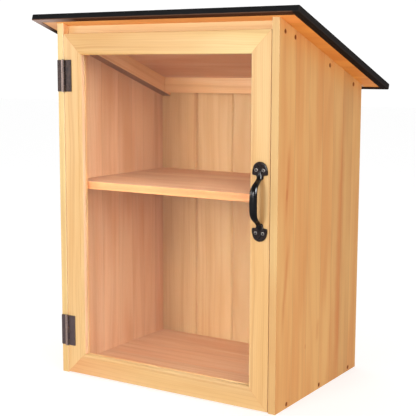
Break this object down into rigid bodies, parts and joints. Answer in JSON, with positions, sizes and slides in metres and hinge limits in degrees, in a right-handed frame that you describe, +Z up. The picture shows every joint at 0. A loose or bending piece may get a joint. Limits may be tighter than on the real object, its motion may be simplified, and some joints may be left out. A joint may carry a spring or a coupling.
{
  "type": "street book exchange box",
  "caption": "Small pine cabinet with a single-pitch felted roof, a glazed hinged door with a bow handle and one inner shelf, for passers-by to leave and take books.",
  "frame": {"origin": "centre of the cabinet's footprint, on the surface that it stands on", "axes": "+Z up; -Y is the door side; +X to the right of someone who faces the door"},
  "size_m": [0.4758, 0.3363, 0.5842],
  "materials": {
    "pine_panel": "satin, clear honey-coloured stain, edge-glued staves",
    "pine_door_frame": "satin, clear honey-coloured stain, moulded inner edge",
    "pine_board": "satin, clear stain, tongued and grooved",
    "pine_strip": "satin, planed strip",
    "roofing_felt": "matt mineral felt",
    "clear_pane": "clear acrylic sheet",
    "bronzed_steel": "dark bronze coating, satin",
    "black_iron": "satin black over a cast surface",
    "handle_screw_steel": "dull",
    "dark_screw_steel": "black phosphate, matt",
    "zinc_steel": "zinc plated",
    "catch_plastic": "matt moulded",
    "magnet": "sintered ferrite"
  },
  "bodies": {
    "carcass": {"left_side_panel": "pine_panel", "right_side_panel": "pine_panel", "floor_panel": "pine_panel", "shelf": "pine_panel", "roof_board": "pine_panel", "rear_rail": "pine_strip", "header_rail": "pine_strip", "left_roof_cleat": "pine_strip", "right_roof_cleat": "pine_strip", "roof_cover": "roofing_felt", "shelf_pins": "zinc_steel", "catch_case": "catch_plastic", "catch_magnet": "magnet", "catch_pole_plates": "zinc_steel", "catch_screws": "zinc_steel", "floor_screws": "dark_screw_steel", "header_screws": "dark_screw_steel", "cleat_screws": "dark_screw_steel", "roof_screws": "dark_screw_steel", "back_board_screws": "dark_screw_steel", "hinge_frame_screws": "bronzed_steel", "back_board_1": "pine_board", "back_board_2": "pine_board", "back_board_3": "pine_board", "back_board_4": "pine_board", "back_board_5": "pine_board", "upper_hinge_frame_leaf": "bronzed_steel", "upper_hinge_pin": "bronzed_steel", "lower_hinge_frame_leaf": "bronzed_steel", "lower_hinge_pin": "bronzed_steel"},
    "door": {"door_bottom_rail": "pine_door_frame", "door_top_rail": "pine_door_frame", "door_left_stile": "pine_door_frame", "door_right_stile": "pine_door_frame", "bottom_glazing_bead": "pine_strip", "top_glazing_bead": "pine_strip", "left_glazing_bead": "pine_strip", "right_glazing_bead": "pine_strip", "bead_pins": "zinc_steel", "door_pane": "clear_pane", "door_handle": "black_iron", "handle_screws": "handle_screw_steel", "catch_strike_plate": "zinc_steel", "strike_screw": "zinc_steel", "upper_hinge_door_leaf": "bronzed_steel", "lower_hinge_door_leaf": "bronzed_steel", "hinge_door_screws": "bronzed_steel"}
  },
  "joints": [
    {"name": "door_hinge", "type": "hinge", "parent": "carcass", "child": "door", "pos_m": [-0.1876, -0.1457, 0], "axis": [0, 0, -1], "range_deg": [0, 180]}
  ]
}
